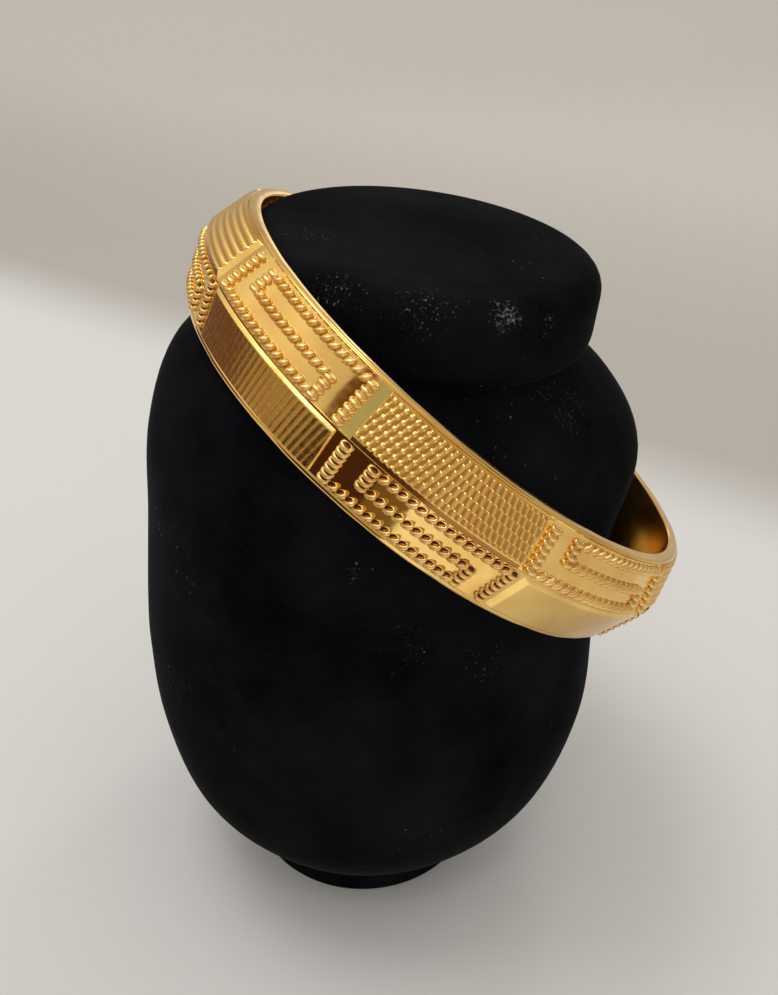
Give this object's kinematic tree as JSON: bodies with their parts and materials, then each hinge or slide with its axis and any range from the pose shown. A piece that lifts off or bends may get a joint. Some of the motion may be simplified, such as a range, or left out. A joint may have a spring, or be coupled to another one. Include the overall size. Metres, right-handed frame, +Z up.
{
  "type": "kada bangle on a display bust",
  "caption": "Rigid gold-finish bangle with a bevelled wall, ribbed pads and wire meanders, worn slanting round the neck of a small black velvet bust.",
  "frame": {"origin": "centre of the foot's underside", "axes": "+Z up; +X to the side where the kada hangs lowest; +Y away from the side that the picture shows"},
  "size_m": [0.0657, 0.0675, 0.0893],
  "materials": {
    "gold_plated_brass": "polished, with matt ribbed pads",
    "black_velvet": "short pile, matt"
  },
  "bodies": {
    "root": {"kada": "gold_plated_brass", "bust_foot": "black_velvet", "bust_body": "black_velvet", "bust_neck": "black_velvet"}
  },
  "joints": []
}
